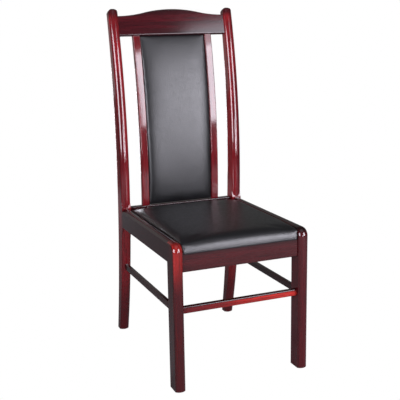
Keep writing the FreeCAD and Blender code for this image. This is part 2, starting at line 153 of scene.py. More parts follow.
def colour(hex_value):
    """An sRGB hex colour as linear RGBA."""
    shares = [int(hex_value[i:i + 2], 16) / 255 for i in (0, 2, 4)]
    return [s / 12.92 if s <= 0.04045 else ((s + 0.055) / 1.055) ** 2.4 for s in shares] + [1.0]


def per_metre(size_mm):
    """Texture scale that gives a pattern of this size in millimetres."""
    return 1000.0 / size_mm


def emptied_tree(owner):
    """The node tree of a material or world, with no nodes in it."""
    owner.use_nodes = True
    owner.node_tree.nodes.clear()
    return owner.node_tree


def new_material(name, values):
    """A material with these values on its shader, and the object's own coordinates."""
    material = bpy.data.materials.new(name)
    tree = emptied_tree(material)
    shader = add(tree, "ShaderNodeBsdfPrincipled", values)
    add(tree, "ShaderNodeOutputMaterial", links={"Surface": shader.outputs["BSDF"]})
    place = add(tree, "ShaderNodeTexCoord").outputs["Object"]
    return material, tree, shader.inputs, place


def feed(tree, shader, sources):
    """Links outputs of nodes into a shader's sockets."""
    for socket, source in sources.items():
        tree.links.new(source, shader[socket])


def along_grain(tree, place, along, share):
    """Coordinates in which patterns stretch along one axis, as grain does."""
    stretch = [1.0 if axis != along else share for axis in "XYZ"]
    return add(tree, "ShaderNodeMapping", {"Scale": stretch}, {"Vector": place}).outputs["Vector"]


def noise(tree, place, size_mm, detail, roughness=0.5, distortion=0.0):
    """Noise with blots of about this size in millimetres."""
    return add(tree, "ShaderNodeTexNoise",
               {"Scale": per_metre(size_mm), "Detail": detail, "Roughness": roughness,
                "Distortion": distortion}, {"Vector": place}).outputs["Fac"]


def ramp(tree, value, low, high, to_low=0.0, to_high=1.0, **settings):
    """Spreads the range of a value from low to high over another range."""
    return add(tree, "ShaderNodeMapRange",
               {"From Min": low, "From Max": high, "To Min": to_low, "To Max": to_high},
               {"Value": value}, **settings).outputs["Result"]


def blend(tree, share, first, second):
    """Goes from a first to a second colour, each an sRGB hex or the output of a node."""
    values, links = {}, {0: share}
    for socket, tone in ((6, first), (7, second)):
        if isinstance(tone, str):
            values[socket] = colour(tone)
        else:
            links[socket] = tone
    return add(tree, "ShaderNodeMix", values, links, data_type="RGBA").outputs[2]


def two_tone(tree, factor, low, high, dark, light):
    """A colour that goes from dark to light as a factor goes from low to high."""
    return blend(tree, ramp(tree, factor, low, high), dark, light)


def relief(tree, height, strength, depth_mm, links=None, **settings):
    """A bumped normal from a height, for a relief of about this depth in millimetres."""
    return add(tree, "ShaderNodeBump", {"Strength": strength, "Distance": depth_mm * MM},
               {"Height": height, **(links or {})}, **settings).outputs["Normal"]


PORE_TINT = "2A0608"


def lacquered_mahogany(name, along, stain, shade_and_tone_bands=(), rubbed=0.09):
    """Mahogany-stained hardwood under several coats of high-gloss lacquer.

    The stain, given as its dark, its light and its streaks, leaves a deep red with darker streaks
    and pores along the grain. Bands of colour darken a piece towards its foot, and painted shade
    darkens its top, its outer side or an end: each band is a colour, an axis, and the places along
    it where it is full and where it ends.
    The clear lacquer is almost a mirror, with a faint orange peel, duller where it was rubbed more.
    """
    material, tree, shader, place = new_material(name, {
        "Roughness": 0.32, "IOR": 1.48, "Specular IOR Level": 0.0,
        "Coat Weight": 1.0, "Coat Roughness": rubbed, "Coat IOR": 1.5})
    dark, light, streak = stain
    grain = along_grain(tree, place, along, 0.045)
    figure = noise(tree, grain, 34, 3.0, 0.55, 0.6)
    streaks = noise(tree, grain, 4.5, 4.0, 0.65)
    pores = noise(tree, grain, 1.3, 1.0)
    tone = two_tone(tree, figure, 0.3, 0.72, dark, light)
    parts = add(tree, "ShaderNodeSeparateXYZ", links={"Vector": place}).outputs
    # Each band darkens the colour along an axis; some of these bands are painted shade.
    for tint, axis, full, end in shade_and_tone_bands:
        share = ramp(tree, parts[axis], full * MM, end * MM, interpolation_type="SMOOTHSTEP")
        tone = blend(tree, share, tint, tone)
    tone = blend(tree, ramp(tree, streaks, 0.48, 0.72, to_high=0.9), tone, streak)
    tone = blend(tree, ramp(tree, pores, 0.62, 0.74, to_high=0.6), tone, PORE_TINT)
    peel = relief(tree, noise(tree, place, 7, 1.0), 0.035, 1.0)
    feed(tree, shader, {"Base Color": tone, "Normal": peel, "Coat Normal": peel})
    return material


def black_leather(name):
    """Finished upholstery leather, dyed black and pressed with a fine pebble.

    The pigment coat is dark and even, and the pebble and its creases break up a satin sheen.
    """
    material, tree, shader, place = new_material(name, {"IOR": 1.5, "Specular IOR Level": 0.48})
    # The real pebble is about 1 mm; it is drawn at 2.2 mm so that it shows.
    pebble = add(tree, "ShaderNodeTexVoronoi", {"Scale": per_metre(2.2), "Randomness": 1.0},
                 {"Vector": place}, feature="SMOOTH_F1").outputs["Distance"]
    creases = noise(tree, place, 9, 4.0, 0.6)
    cloudy = noise(tree, place, 70, 2.0)
    fine = relief(tree, pebble, 0.35, 0.6, invert=True)
    feed(tree, shader, {
        "Base Color": two_tone(tree, cloudy, 0.3, 0.7, "0A0A0B", "131315"),
        "Roughness": ramp(tree, creases, 0.3, 0.7, 0.32, 0.4),
        "Normal": relief(tree, creases, 0.06, 1.5, {"Normal": fine})})
    return material


def raw_wood(name, along, dark, light, ring_mm):
    """Unfinished wood, sawn or peeled: matte, with soft rings and short fibres along the grain."""
    material, tree, shader, place = new_material(name, {"Roughness": 0.72})
    grain = along_grain(tree, place, along, 0.06)
    rings = noise(tree, grain, ring_mm, 3.0, 0.6, 0.8)
    fibres = noise(tree, grain, 1.6, 2.0)
    both = add(tree, "ShaderNodeMath", {1: 0.35}, {0: fibres, 2: rings}, operation="MULTIPLY_ADD")
    tone = two_tone(tree, both.outputs["Value"], 0.45, 0.95, dark, light)
    feed(tree, shader, {"Base Color": tone, "Normal": relief(tree, fibres, 0.25, 0.4)})
    return material


def dust_cloth_black(name):
    """Spun-bonded black polypropylene cloth: thin, matte, with pressed bond points."""
    material, tree, shader, place = new_material(name, {"Roughness": 0.85})
    # Bond points lie about 1 mm apart; they are drawn 2 mm apart so that they show.
    bonds = add(tree, "ShaderNodeTexVoronoi", {"Scale": per_metre(2.0), "Randomness": 0.25},
                {"Vector": place}).outputs["Distance"]
    fibres = noise(tree, place, 3, 5.0, 0.7)
    feed(tree, shader, {"Base Color": two_tone(tree, fibres, 0.3, 0.75, "101011", "28282A"),
                        "Normal": relief(tree, bonds, 0.4, 0.4)})
    return material


def zinc_plated_steel(name):
    """Bright zinc plating on drawn steel, slightly clouded."""
    material, tree, shader, place = new_material(name, {"Metallic": 1.0})
    clouds = noise(tree, place, 2.5, 3.0)
    feed(tree, shader, {"Base Color": two_tone(tree, clouds, 0.3, 0.7, "A9A9A4", "C9CACB"),
                        "Roughness": ramp(tree, clouds, 0.0, 1.0, 0.24, 0.42)})
    return material


def black_nylon(name):
    """Moulded black nylon: matte with a fine spark-eroded texture."""
    material, tree, shader, place = new_material(name, {"Roughness": 0.55})
    grit = noise(tree, place, 0.9, 2.0)
    feed(tree, shader, {"Base Color": two_tone(tree, grit, 0.35, 0.7, "151515", "222223"),
                        "Normal": relief(tree, grit, 0.2, 0.3)})
    return material


# Each finish has an axis for its grain, a stain, colour bands with places in millimetres, and a
# rubbing. Some of the bands are painted shade.
stretcher_top = STRETCHER_Z + STRETCHER_HEIGHT / 2
mahogany = {finish: lacquered_mahogany("mahogany_" + name, *look) for finish, name, *look in (
    # Posts darken towards the foot; the dark band over the dome top is painted shade.
    ("post", "shaded_post", "Z", ("4A0D12", "841B20", "30090B"),
     [("3C0A0E", "Z", 90.0, 310.0), ("36090F", "Z", 1102.0, 1078.0)]),
    ("slat", "red_upright", "Z", ("420A0F", "6C141A", "2E080B")),
    # The left leg darkens towards its foot; the dark bands on its top and on its outer side face
    # are painted shade.
    ("leg", "shaded_leg", "Z", ("5E120F", "9E211E", "420C0C"),
     [("310A0E", "Z", 290.0, 430.0), ("1C0708", "Z", 460.0, 447.0),
      ("1E0809", "X", -219.6, -216.5)]),
    # The black band over the right leg's nose top is painted shade.
    ("leg_dark", "dark_upright", "Z", ("340A0E", "420D12", "220709"),
     [("0A0203", "Z", 452.0, 434.0)]),
    # On the front stretcher, the darker left end and the dark top face and top edge are painted
    # shade.
    ("stretcher_front", "red_cross", "X", ("62130F", "A82620", "460D0D"),
     [("4A0D12", "X", -190.0, 120.0), ("160506", "Z", stretcher_top - 2.5, stretcher_top - 5.5)]),
    ("crest", "deep_cross", "X", ("1C0509", "400A12", "140406"), [], 0.11),
    ("rail_cross", "dark_cross", "X", ("230809", "3A0E11", "1A0607")),
    ("rail_side", "dark_lengthwise", "Y", ("1E0809", "260A0C", "170606")))}
leather = black_leather("leather_black_pebbled")
beech_block = raw_wood("beech_sawn", "X", "8A6238", "C19A66", 9)
plywood_face = raw_wood("birch_plywood_sanded", "Y", "A37C4C", "CDAE7F", 22)
dust_cloth = dust_cloth_black("dust_cloth_spunbond")
zinc = zinc_plated_steel("steel_zinc_plated")
nylon = black_nylon("nylon_moulded_black")


# Meshes

SHARP_DEGREES = 32.0
PANEL_SHARP_DEGREES = 40.0
LARGE_FACE_WEIGHT = 80
MERGE_DISTANCE = 1e-6


def new_object(name, data):
    """An object with its data, linked into the scene."""
    made = bpy.data.objects.new(name, data)
    stage_scene.collection.objects.link(made)
    return made


def evaluated_mesh(piece):
    """A new mesh of a piece with its modifiers applied."""
    graph = bpy.context.evaluated_depsgraph_get()
    return bpy.data.meshes.new_from_object(piece.evaluated_get(graph), depsgraph=graph)


def shade_evenly(piece, sharp_degrees=SHARP_DEGREES):
    """Smooth shading but for sharp edges, with the large flat faces kept flat to the eye."""
    piece.data.shade_smooth()
    piece.data.set_sharp_from_angle(angle=radians(sharp_degrees))
    weighted = piece.modifiers.new("even_shading", "WEIGHTED_NORMAL")
    weighted.keep_sharp = True
    weighted.weight = LARGE_FACE_WEIGHT


def make_piece(name, points, faces, material, sharp_degrees=SHARP_DEGREES):
    """A mesh object from points in millimetres, smooth but for its sharp edges."""
    mesh = bpy.data.meshes.new(name)
    mesh.from_pydata([Vector(p) * MM for p in points], [], faces)
    shell = bmesh.new()
    shell.from_mesh(mesh)
    bmesh.ops.remove_doubles(shell, verts=shell.verts, dist=MERGE_DISTANCE)
    bmesh.ops.recalc_face_normals(shell, faces=shell.faces)
    shell.to_mesh(mesh)
    shell.free()
    mesh.materials.append(material)
    piece = new_object(name, mesh)
    shade_evenly(piece, sharp_degrees)
    return piece


def stand_for(piece, slot, *nodes):
    """The piece rides on the chair and shows in place of CAD nodes; its slot is not used."""
    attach(piece, "root")
    if nodes:
        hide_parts(*nodes)
    return piece


def loft(rings, open_start=False):
    """Points and faces of a skin over rings of equally many points, with flat ends."""
    count = len(rings[0])
    points = [p for ring in rings for p in ring]
    faces = []
    for r in range(len(rings) - 1):
        for i in range(count):
            j = (i + 1) % count
            faces.append((r * count + i, r * count + j, (r + 1) * count + j, (r + 1) * count + i))
    if not open_start:
        faces.append(tuple(range(count)))
    faces.append(tuple((len(rings) - 1) * count + i for i in range(count)))
    return points, faces


def spread(low, high, count):
    """Evenly spaced values from low to high, both among them."""
    return [low + (high - low) * i / (count - 1) for i in range(count)]


def eased_corner(centre, radius, start, end, count=6):
    """Points on a corner's round, by angles in degrees in a plane."""
    return [(centre[0] + radius * cos(radians(a)),
             centre[1] + radius * sin(radians(a))) for a in spread(start, end, count)]


def eased_rectangle(low, high, radius):
    """A closed outline from one corner to the other, with rounded corners."""
    u0, v0 = (place + radius for place in low)
    u1, v1 = (place - radius for place in high)
    corners = (((u0, v0), 180), ((u1, v0), 270), ((u1, v1), 0), ((u0, v1), 90))
    return [point for centre, start in corners
            for point in eased_corner(centre, radius, start, start + 90)]


# Slices across a leg's width lie closer towards its corners.
slice_half = [0.0, 2.4, 4.8, 7.0, 9.0, 10.8, 12.2, 13.3, 14.2, 14.9, 15.4, LEG_HALF]
leg_slices = [-x for x in reversed(slice_half[1:])] + slice_half
POST_BACK_EDGE = 3.5
LEG_BACK_EDGE = 2.0
LEG_EDGE_START = 1.5  # a leg's back edges start this far below the side rail
SIDE_RAIL_EDGE = 2.5
DOME_ZONE = 40.0  # a post's even slices end this far below its top
DOME_SEARCH = 60.0
HALVINGS = 40
RUNOUT_ZONE = 30.0  # a post's slices lie 1 mm apart over this length at its run-outs


def back_rounding(x, radius):
    """How far a leg's back edge falls forward near its corners."""
    over = max(0.0, abs(x) - (LEG_HALF - radius))
    return radius - sqrt(max(0.0, radius ** 2 - over ** 2))


def post_front_y(x, z):
    """Front of a rear post: rounded, but square at the seat rail, with sloping run-outs."""
    rounded = bow_y - sqrt((POST_RADIUS - rounding(x)) ** 2 - (z - POST_WAIST_Z) ** 2)
    if z > RUNOUT_TOP:
        square = crown_y(RUNOUT_TOP) + (z - RUNOUT_TOP) / RUNOUT_SLOPE
    elif z < RUNOUT_BOTTOM:
        square = crown_y(RUNOUT_BOTTOM) + (RUNOUT_BOTTOM - z) / RUNOUT_SLOPE
    else:
        square = crown_y(z)
    return min(rounded, square)


dome_tilt = bow_angle(CHAIR_HEIGHT)
dome_z = CHAIR_HEIGHT - DOME_DEPTH_RADIUS
dome_y = (crown_y(dome_z) + back_y(dome_z)) / 2


def turned(u, v, angle):
    """A point in a plane after a turn about its origin."""
    return u * cos(angle) - v * sin(angle), u * sin(angle) + v * cos(angle)


def in_dome(y, z):
    """Place of a point across and along the tilted top of a post, from the dome's centre."""
    return turned(y - dome_y, z - dome_z, dome_tilt)


def dome_height(x, across):
    """Height of the dome over its centre: two crossed rounds that run softly into each other."""
    drop_x = DOME_WIDTH_RADIUS - sqrt(DOME_WIDTH_RADIUS ** 2 - x * x)
    reach = min(abs(across), DOME_DEPTH_RADIUS - DOME_RIM)
    drop_y = DOME_DEPTH_RADIUS - sqrt(DOME_DEPTH_RADIUS ** 2 - reach ** 2)
    return DOME_DEPTH_RADIUS - hypot(drop_x, drop_y)


def dome_edge(x, line):
    """Height at which a post's front or back line runs into the dome."""
    low, high = CHAIR_HEIGHT - DOME_SEARCH, CHAIR_HEIGHT
    for _ in range(HALVINGS):
        z = (low + high) / 2
        across, along = in_dome(line(z), z)
        if along < dome_height(x, across):
            low = z
        else:
            high = z
    return low


below_runout, above_runout = RUNOUT_BOTTOM - RUNOUT_ZONE, RUNOUT_TOP + RUNOUT_ZONE
post_heights = sorted({z for low, high, count in (
    (FOOT_Z, below_runout, 30), (below_runout + 1.0, RUNOUT_BOTTOM, 30),
    (RUNOUT_BOTTOM, RUNOUT_TOP, 6), (RUNOUT_TOP, above_runout - 1.0, 30),
    (above_runout, CHAIR_HEIGHT - DOME_ZONE, 45)) for z in spread(low, high, count)})


def post_outline(x):
    """A slice of a rear post, up its front, over its dome and down its back."""
    def front(z):
        return post_front_y(x, z)

    def rear(z):
        return back_y(z) - back_rounding(x, POST_BACK_EDGE)

    front_top, rear_top = dome_edge(x, front), dome_edge(x, rear)
    outline = [(front(z), z) for z in post_heights + spread(post_heights[-1], front_top, 5)[1:]]
    start, _ = in_dome(front(front_top), front_top)
    end, _ = in_dome(rear(rear_top), rear_top)
    for share in spread(0.0, pi, 21)[1:-1]:
        across = start + (end - start) * (1 - cos(share)) / 2
        y, z = turned(across, dome_height(x, across), -dome_tilt)
        outline.append((dome_y + y, dome_z + z))
    return outline + [(rear(z), z) for z in spread(rear_top, FOOT_Z, 70)]


def leg_outline(x):
    """A slice of a front leg, whose rounded front turns back over its top."""
    nose_y, nose_z = LEG_FRONT_Y + NOSE_RADIUS, SEAT_RAIL_TOP - NOSE_RADIUS
    fall, ease = rounding(x), back_rounding(x, LEG_BACK_EDGE)
    top = SEAT_RAIL_TOP - fall
    outline = [(LEG_FRONT_Y + fall, z) for z in spread(FOOT_Z, nose_z, 20)]
    outline += eased_corner((nose_y, nose_z), NOSE_RADIUS - fall, 180, 90, 22)[1:]
    outline += [(y, top) for y in spread(nose_y, LEG_BACK_Y, 6)[1:-1]]
    outline += [(LEG_BACK_Y, z) for z in spread(top, SIDE_RAIL_BOTTOM, 6)[:-1]]
    return outline + [(LEG_BACK_Y - ease, z)
                      for z in spread(SIDE_RAIL_BOTTOM - LEG_EDGE_START, FOOT_Z, 12)]


def upright(side, outline):
    """A post or leg from slices across its width."""
    return loft([[(side * LEG_X + x, y, z) for y, z in outline(x)] for x in leg_slices])


def side_rail(side):
    """A rail whose rounded top runs on from the leg and ends against the post."""
    ease = SIDE_RAIL_EDGE
    outline = [(x, SEAT_RAIL_TOP - rounding(x)) for x in leg_slices]
    outline += eased_corner((LEG_HALF - ease, SIDE_RAIL_BOTTOM + ease), ease, 0, -90)
    outline += eased_corner((-LEG_HALF + ease, SIDE_RAIL_BOTTOM + ease), ease, -90, -180)
    return loft([[(side * LEG_X + x,
                   LEG_BACK_Y + (crown_y(z) + JOINT_OVERLAP - LEG_BACK_Y) * share, z)
                  for x, z in outline] for share in spread(0.0, 1.0, 7)])


def crest_top(x):
    """Height of the crest's camel back over its straight bottom edge."""
    half_turn = atan(CREST_RISE / INNER_X)
    swing = INNER_X / sin(2 * half_turn) - CREST_CROWN
    bend_x = CREST_CROWN * sin(2 * half_turn)
    if abs(x) < bend_x:
        return CREST_END + CREST_RISE - CREST_CROWN + sqrt(CREST_CROWN ** 2 - x * x)
    return CREST_END + swing - sqrt(swing ** 2 - (INNER_X - abs(x)) ** 2)


def in_crest(x, depth, height):
    """A point drawn upright about the crest's bottom line, leant back with the posts."""
    y, z = turned(depth, height, -bow_angle(CREST_BOTTOM + CREST_END / 2))
    return (x, y + crown_y(CREST_BOTTOM) + BULLNOSE_RISE + CREST_SETBACK, z + CREST_BOTTOM)


rail_reach = INNER_X + JOINT_OVERLAP


def crest_rail():
    """The camel-backed crest, in sections along its length."""
    rings = []
    for x in spread(-rail_reach, rail_reach, 97):
        top = crest_top(min(abs(x), INNER_X))
        outline = eased_rectangle((0.0, 0.0), (CREST_THICKNESS, top), CREST_EDGE)
        rings.append([in_crest(x, depth, height) for depth, height in outline])
    return loft(rings)


for side, word in SIDES:
    for name, node, shape, finish in (
            ("post_", "rear_post_", upright(side, post_outline), "post"),
            ("leg_", "front_leg_", upright(side, leg_outline), "leg" if side < 0 else "leg_dark"),
            ("seat_rail_", "side_rail_", side_rail(side), "rail_side")):
        piece = make_piece(name + word, *shape, mahogany[finish])
        stand_for(piece, "lacquered_wood", node + word)
stand_for(make_piece("crest", *crest_rail(), mahogany["crest"]), "lacquered_wood", "crest_rail")


# Bars with eased edges along a straight or bowed line

def new_shape_tree(name, inputs):
    """A geometry tree with these inputs, by name and kind, and one geometry as its output."""
    tree = bpy.data.node_groups.new(name, "GeometryNodeTree")
    tree.interface.new_socket("Geometry", in_out="OUTPUT", socket_type="NodeSocketGeometry")
    for label, kind in inputs.items():
        tree.interface.new_socket(label, in_out="INPUT", socket_type="NodeSocket" + kind)
    return tree, add(tree, "NodeGroupInput").outputs


def finish_shape(tree, geometry, finish):
    """Makes a tree's geometry real, gives it a finish and hands it out."""
    realized = add(tree, "GeometryNodeRealizeInstances", links={"Geometry": geometry})
    finished = add(tree, "GeometryNodeSetMaterial",
                   links={"Geometry": realized.outputs["Geometry"], "Material": finish})
    add(tree, "NodeGroupOutput", links={0: finished.outputs["Geometry"]})


def bar_tree():
    """Sweeps a rectangle with rounded corners along a line that may bow."""
    tree, given = new_shape_tree("eased_bar", {
        "Start": "Vector", "Bow": "Vector", "End": "Vector", "Facing": "Vector",
        "Width": "Float", "Thickness": "Float", "Edge": "Float", "Finish": "Material"})
    line = add(tree, "GeometryNodeCurveQuadraticBezier", {"Resolution": 48},
               {"Start": given["Start"], "Middle": given["Bow"], "End": given["End"]})
    faced = add(tree, "GeometryNodeSetCurveNormal",
                links={"Curve": line.outputs["Curve"], "Normal": given["Facing"]}, mode="FREE")
    section = add(tree, "GeometryNodeCurvePrimitiveQuadrilateral",
                  links={"Width": given["Thickness"], "Height": given["Width"]})
    eased = add(tree, "GeometryNodeFilletCurve", {"Count": 6},
                {"Curve": section.outputs["Curve"], "Radius": given["Edge"]}, mode="POLY")
    swept = add(tree, "GeometryNodeCurveToMesh", {"Fill Caps": True},
                {"Curve": faced.outputs["Curve"], "Profile Curve": eased.outputs["Curve"]})
    finish_shape(tree, swept.outputs["Mesh"], given["Finish"])
    return tree


def from_tree(name, tree, inputs, seed_mesh=None):
    """A plain mesh object that a geometry tree makes from its named inputs."""
    base = new_object(name + "_base", seed_mesh or bpy.data.meshes.new(name + "_base"))
    modifier = base.modifiers.new("shape", "NODES")
    modifier.node_group = tree
    for item in tree.interface.items_tree:
        if item.in_out == "INPUT" and item.name in inputs:
            modifier[item.identifier] = inputs[item.name]
    mesh = evaluated_mesh(base)
    mesh.name = name
    bpy.data.objects.remove(base)
    made = new_object(name, mesh)
    shade_evenly(made)
    return made


eased_bar = bar_tree()


def bar(name, node, start, end, facing, width, thickness, finish, bow=None):
    """A bar from start to end, wide across the way it faces, bent towards a bow point if given."""
    middle = bow or [(a + b) / 2 for a, b in zip(start, end)]
    piece = from_tree(name, eased_bar, {
        "Start": Vector(start) * MM, "Bow": Vector(middle) * MM, "End": Vector(end) * MM,
        "Facing": Vector(facing), "Width": width * MM, "Thickness": thickness * MM,
        "Edge": BAR_EDGE * MM, "Finish": mahogany[finish]})
    return stand_for(piece, "lacquered_wood", node)


FORWARD = (0.0, -1.0, 0.0)
SIDEWAYS = (1.0, 0.0, 0.0)
STRETCHER_OVERLAP = 0.5
SLAT_FOOT_OVERLAP, SLAT_HEAD_OVERLAP = 0.0002, 0.0012  # in radians along the bow


def cross_bar(name, node, y, z, height, thickness, finish):
    """A level bar between the two sides of the chair."""
    bar(name, node, (-rail_reach, y, z), (rail_reach, y, z), FORWARD, height, thickness, finish)


for name, node, y, top, bottom in (
        ("rail_front", "front_rail", FRONT_RAIL_Y, FRONT_RAIL_TOP, FRONT_RAIL_BOTTOM),
        ("rail_rear", "rear_rail", rear_rail_y, REAR_RAIL_TOP, REAR_RAIL_BOTTOM)):
    cross_bar(name, node, y + RAIL_THICKNESS / 2, (top + bottom) / 2, top - bottom, RAIL_THICKNESS,
              "rail_cross")
stretcher_y = LEG_FRONT_Y + BULLNOSE_RISE + FRONT_STRETCHER_SETBACK + FRONT_STRETCHER_THICKNESS / 2
cross_bar("stretcher_front", "front_stretcher", stretcher_y, STRETCHER_Z, STRETCHER_HEIGHT,
          FRONT_STRETCHER_THICKNESS, "stretcher_front")

slat_depth = SLAT_SETBACK + SLAT_THICKNESS / 2
slat_low = back_low - SLAT_FOOT_OVERLAP
slat_high = back_high + SLAT_HEAD_OVERLAP
slat_middle = (slat_low + slat_high) / 2
# Where the tangents at a slat's ends meet
tangent_depth = corner_radius - (corner_radius - slat_depth) / cos((slat_high - slat_low) / 2)
for side, word in SIDES:
    bar("stretcher_" + word, "side_stretcher_" + word,
        (side * LEG_X, LEG_BACK_Y - STRETCHER_OVERLAP, STRETCHER_Z),
        (side * LEG_X, crown_y(STRETCHER_Z) + BULLNOSE_RISE, STRETCHER_Z), SIDEWAYS,
        STRETCHER_HEIGHT, SIDE_STRETCHER_THICKNESS, "rail_side")
    slat_x = side * SLAT_X
    bar("slat_" + word, "back_slat_" + word,
        on_bow(slat_x, slat_depth, slat_low), on_bow(slat_x, slat_depth, slat_high), SIDEWAYS,
        SLAT_THICKNESS, SLAT_WIDTH, "slat", bow=on_bow(slat_x, tangent_depth, slat_middle))


# Soft seat and back

def rail_surface(x):
    """Height of the rounded tops of side rails and legs, at a distance from the chair's middle."""
    return SEAT_RAIL_TOP - rounding(max(-LEG_HALF, min(LEG_HALF, abs(x) - LEG_X)))


PAD_GAP = 0.4  # what the pads keep off the wood beside them
PAD_SIDE, PAD_BULGE = 187.6, 195.0  # half the seat pad's width between the rails, and over them
PAD_BULGE_Z, PAD_BULGE_RISE = 446.0, 10.0  # it spreads from a height on, fully after a rise
PAD_OVERHANG = 0.8
PAD_CORNER = 5.0
PAD_CROWN_POWER = 2.4
PAD_BASE_Z = FRONT_RAIL_TOP - 9.0
PAD_EDGE_Z, PAD_MIDDLE_Z = 456.2, 458.6
PAD_EDGE_SWELL, PAD_MIDDLE_SWELL = 0.6, 1.6
SEAT_BACK_Y = rear_rail_y - 1.2
REAR_FALL = 5.0
REAR_FALL_START, REAR_FALL_LENGTH = 0.93, 0.07  # as shares of the pad's length
ROLL_START_Y = -257.0
ROLL_FRONT_Y = -286.0
ROLL_POWER = 3.4
ROLL_EDGE_Z = (429.0, 456.0)  # at its front and where it starts
ROLL_MIDDLE_Z = (429.6, 458.4)
ROLL_SHARES = (0.0, 0.06, 0.14, 0.25, 0.4, 0.58, 0.78)


def mirrored(half):
    """A closed section from its half, which starts and ends in the middle."""
    return half + [(-x, v) for x, v in reversed(half[1:-1])]


def seat_ring(y, edge_z, middle_z):
    """A section of the seat pad: it swells over the rails' rounded tops where it is high enough."""
    lift = max(0.0, min(1.0, (edge_z - PAD_BULGE_Z) / PAD_BULGE_RISE))
    bulge = PAD_SIDE + (PAD_BULGE - PAD_SIDE) * lift
    corner = min(PAD_CORNER, (edge_z - PAD_BASE_Z) / 3)
    side_top = min(PAD_BULGE_Z, edge_z - corner)
    half = [(x, PAD_BASE_Z) for x in spread(0.0, PAD_SIDE - 1.0, 10)]
    half += [(PAD_SIDE, z) for z in spread(PAD_BASE_Z + 1.0, side_top, 6)]
    for x in spread(PAD_SIDE, bulge, 5)[1:]:
        half.append((x, max(half[-1][1], min(edge_z - corner, rail_surface(x) + PAD_GAP))))
    shoulder_z = half[-1][1]
    for angle in spread(0.0, 80.0, 6):
        a = radians(angle)
        half.append((bulge + PAD_OVERHANG * lift - corner * (1 - cos(a)),
                     shoulder_z + (edge_z - shoulder_z) * sin(a)))
    edge_x = half[-1][0]
    half += [(edge_x * s, edge_z + (middle_z - edge_z) * (1 - s ** PAD_CROWN_POWER))
             for s in spread(1.0, 0.0, 16)[1:]]
    return [(x, y, z) for x, z in mirrored(half)]


def seat_start_shape():
    """The pad before it swells: crowned, with a rolled front edge."""
    rings = []
    for share in ROLL_SHARES:
        lift = (1 - (1 - share) ** ROLL_POWER) ** (1 / ROLL_POWER)
        y = ROLL_FRONT_Y + (ROLL_START_Y - ROLL_FRONT_Y) * share
        edge_z, middle_z = (low + (high - low) * lift for low, high in (ROLL_EDGE_Z, ROLL_MIDDLE_Z))
        rings.append(seat_ring(y, edge_z, middle_z))
    for share in spread(0.0, 1.0, 15):
        swell = 1 - (2 * share - 1) ** 4
        y = ROLL_START_Y + (SEAT_BACK_Y - ROLL_START_Y) * share
        fall = REAR_FALL * (max(0.0, share - REAR_FALL_START) / REAR_FALL_LENGTH)
        rings.append(seat_ring(y, PAD_EDGE_Z + PAD_EDGE_SWELL * swell - fall,
                               PAD_MIDDLE_Z + PAD_MIDDLE_SWELL * swell - fall))
    return loft(rings)


BACK_CROWN = 13.0
BACK_LUMBAR = 4.5  # the pad is fuller low down and thinner at the top
BACK_PAD_HALF = 118.5
BACK_PAD_RIM = SLAT_SETBACK + 3.0
BACK_PAD_REAR = BACK_BOARD_REAR + 3.0
BACK_PAD_FOOT, BACK_PAD_HEAD = 2.5, 3.5  # how far it starts below and above its opening


def back_ring(share, low, high):
    """A section of the back pad across the bow."""
    fullness = BACK_CROWN + BACK_LUMBAR * (1 - 2 * share)
    rise = fullness * sqrt(1 - abs(2 * share - 1) ** 6)
    angle = low + (high - low) * share
    half = [(x, BACK_PAD_REAR) for x in spread(0.0, BACK_PAD_HALF - 1.0, 8)]
    half += [(BACK_PAD_HALF, depth) for depth in spread(BACK_PAD_REAR - 1.0, BACK_PAD_RIM, 5)]
    for turn in spread(0.0, pi / 2, 24)[1:]:
        s = cos(turn)
        half.append((BACK_PAD_HALF * s, BACK_PAD_RIM - rise * sqrt(1 - s ** 4)))
    return [on_bow(x, depth, angle) for x, depth in mirrored(half)]


def back_start_shape():
    """The back pad before it swells, a little larger than its opening."""
    low = back_low - BACK_PAD_FOOT / corner_radius
    high = back_high + BACK_PAD_HEAD / corner_radius
    shares = [0.0, 0.008, 0.02, 0.04] + spread(0.07, 0.93, 19) + [0.96, 0.98, 0.992, 1.0]
    return loft([back_ring(share, low, high) for share in shares])


PAD_VOXEL = 5.0
PAD_PRESSURE = 4.0
CLOTH_FRAMES = 20
SMOOTH_ALL, SMOOTH_LOOSE = 3, 8  # passes over the whole pad, then over what isn't held


def blown_up(piece, fixed, shrink):
    """Places of a piece's points after it was blown up as cloth, with some of them held."""
    piece.vertex_groups.new(name="held").add(fixed, 1.0, "REPLACE")
    cloth = piece.modifiers.new("swell", "CLOTH")
    settings = cloth.settings
    settings.quality = 5
    settings.mass = 0.3
    settings.tension_stiffness = settings.compression_stiffness = 12.0
    settings.bending_stiffness = 2.0
    settings.shrink_min = shrink
    settings.use_pressure = True
    settings.uniform_pressure_force = PAD_PRESSURE
    settings.effector_weights.gravity = 0.0
    settings.vertex_group_mass = "held"
    cloth.collision_settings.use_collision = False
    for step in range(1, CLOTH_FRAMES + 1):
        stage_scene.frame_set(step)
    evaluated = piece.evaluated_get(bpy.context.evaluated_depsgraph_get())
    places = [v.co.copy() for v in evaluated.to_mesh().vertices]
    evaluated.to_mesh_clear()
    piece.modifiers.clear()
    stage_scene.frame_set(1)
    return places


